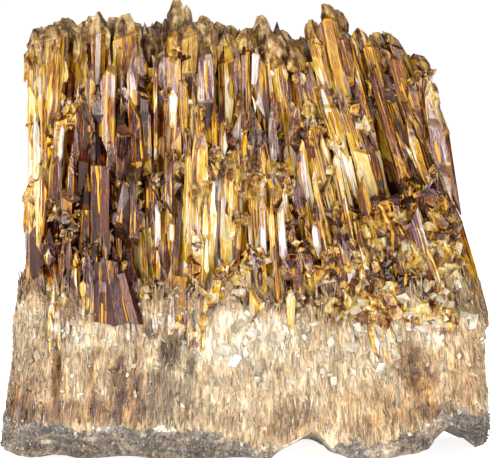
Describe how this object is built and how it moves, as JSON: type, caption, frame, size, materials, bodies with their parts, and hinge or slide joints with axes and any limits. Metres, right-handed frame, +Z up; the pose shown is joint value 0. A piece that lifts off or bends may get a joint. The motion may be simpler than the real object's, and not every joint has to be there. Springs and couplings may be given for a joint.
{
  "type": "calcite crystal cluster",
  "caption": "Hand specimen of clear honey to maroon calcite columns standing on a pale fibrous layer over a thin grey rock crust.",
  "frame": {"origin": "on the resting plane, under the middle of the specimen's bounding box", "axes": "+Z up along the crystals, +X along the specimen's width, -Y towards the fracture face that shows the columns"},
  "size_m": [0.09, 0.042, 0.084],
  "materials": {
    "honey_calcite": "clear, polished-looking cleavage and prism faces, honey to maroon",
    "pale_calcite": "silky, finely fibrous cream calcite with tan patches",
    "grey_rock": "dull, granular grey rock with white sugary spots"
  },
  "bodies": {
    "root": {"crystal_columns": "honey_calcite", "fibrous_base": "pale_calcite", "rock_crust": "grey_rock"}
  },
  "joints": []
}
